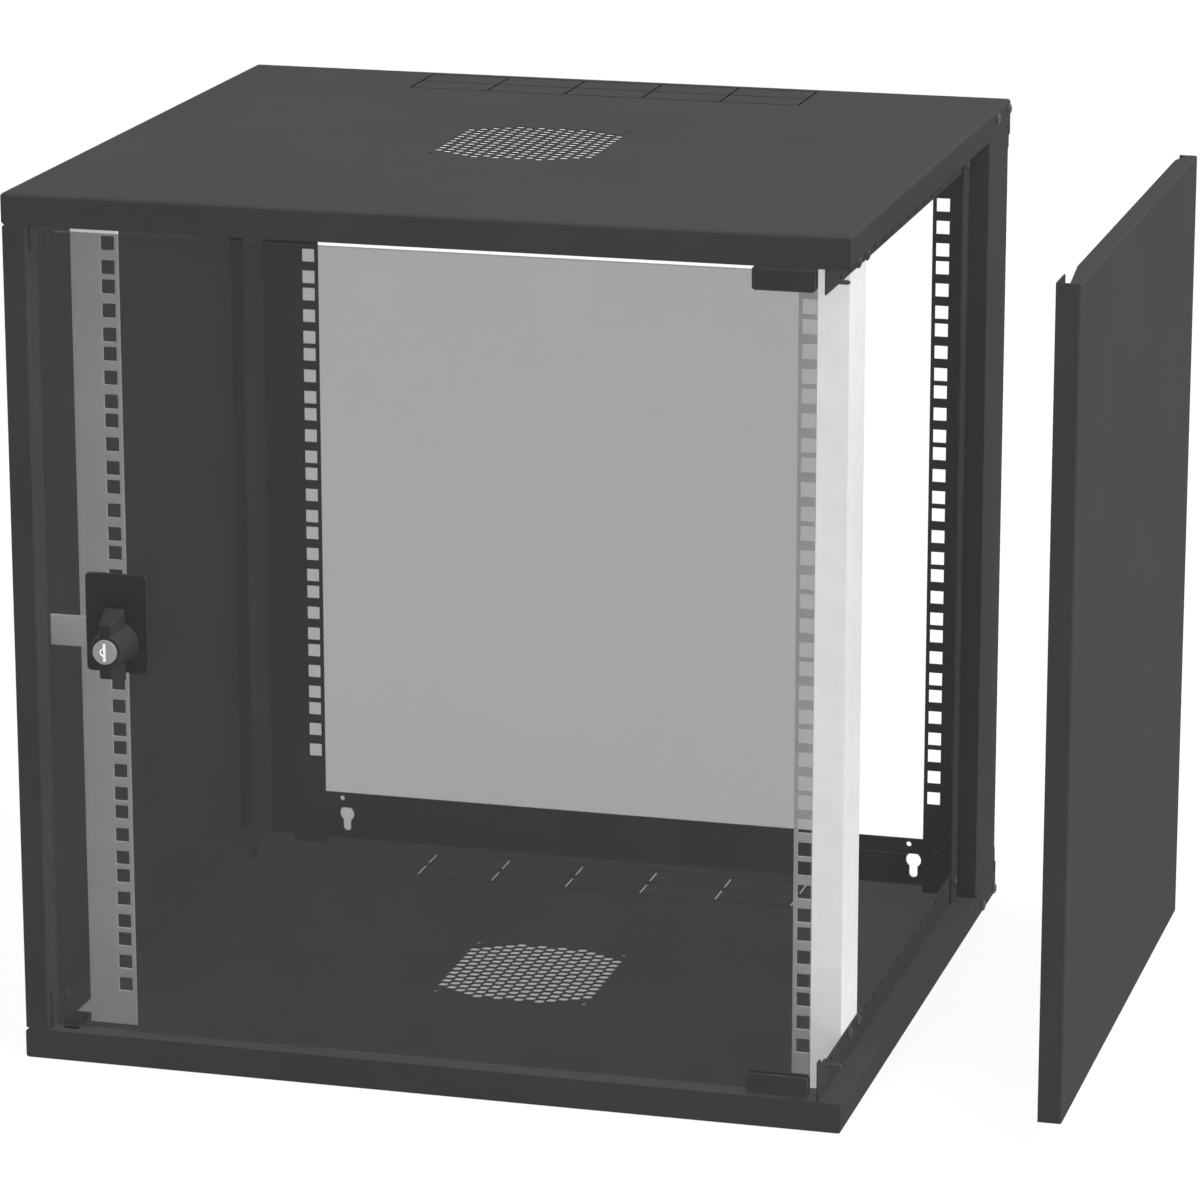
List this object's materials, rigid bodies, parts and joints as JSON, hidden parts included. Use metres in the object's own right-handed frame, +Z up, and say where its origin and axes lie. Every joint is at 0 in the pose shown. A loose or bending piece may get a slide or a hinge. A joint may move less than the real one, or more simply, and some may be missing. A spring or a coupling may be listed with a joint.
{
  "type": "wall mount network cabinet",
  "caption": "Black sheet-metal wall cabinet for 19-inch network gear: zinc rails, clear glass door with a turning lock, lift-off side panels, vented roof and floor, open back.",
  "frame": {"origin": "centre of the floor tray's underside", "axes": "+X to the right seen from the door, +Y from the door to the wall, +Z up"},
  "size_m": [0.6944, 0.5315, 0.5794],
  "materials": {
    "black_sheet": "fine matt powder coat, near black",
    "zinc_sheet": "bright zinc plate, satin",
    "black_screw": "black zinc plate",
    "glass": "clear grey-tinted toughened glass",
    "black_clip": "matt black",
    "rubber": "matt",
    "nylon": "matt",
    "pin_steel": "turned steel",
    "lock_black": "matt black on die casting",
    "lock_metal": "satin nickel"
  },
  "bodies": {
    "frame": {"floor_tray": "black_sheet", "roof_tray": "black_sheet", "rear_post_left": "black_sheet", "rear_post_right": "black_sheet", "crossbar_bottom": "black_sheet", "crossbar_top": "black_sheet", "front_rail_left": "zinc_sheet", "front_rail_right": "zinc_sheet", "panel_screws": "black_screw", "corner_screws": "black_screw", "lip_screws": "black_screw", "rail_screws": "black_screw", "door_bumper": "rubber", "hinge_washers": "nylon"},
    "door": {"door_glass": "glass", "hinge_clip_bottom": "black_clip", "hinge_clip_top": "black_clip", "clip_pad_bottom": "rubber", "clip_pad_top": "rubber", "clip_screws": "black_screw", "hinge_pin_bottom": "pin_steel", "hinge_pin_top": "pin_steel", "lock_housing": "lock_black", "lock_gasket": "rubber", "lock_nut": "pin_steel"},
    "grip": {"lock_knob": "lock_black", "lock_cam": "zinc_sheet", "cam_screw": "pin_steel"},
    "key_barrel": {"lock_cylinder": "lock_metal"},
    "left_panel": {"side_panel_left": "black_sheet"},
    "right_panel": {"side_panel_right": "black_sheet"}
  },
  "joints": [
    {"name": "door_hinge", "type": "hinge", "parent": "frame", "child": "door", "pos_m": [0.246, -0.24775, 0], "axis": [0, 0, 1], "range_deg": [0, 120]},
    {"name": "grip_turn", "type": "hinge", "parent": "door", "child": "grip", "pos_m": [-0.2034, -0.252, 0.2897], "axis": [0, 1, 0], "range_deg": [0, 90]},
    {"name": "key_turn", "type": "hinge", "parent": "grip", "child": "key_barrel", "pos_m": [-0.2034, -0.252, 0.2897], "axis": [0, 1, 0], "range_deg": [0, 90]},
    {"name": "right_panel_slide", "type": "slide", "parent": "frame", "child": "right_panel", "axis": [1, 0, 0], "range_m": [-0.142, 0]},
    {"name": "left_panel_slide", "type": "slide", "parent": "frame", "child": "left_panel", "axis": [-1, 0, 0], "range_m": [0, 0.142]}
  ]
}
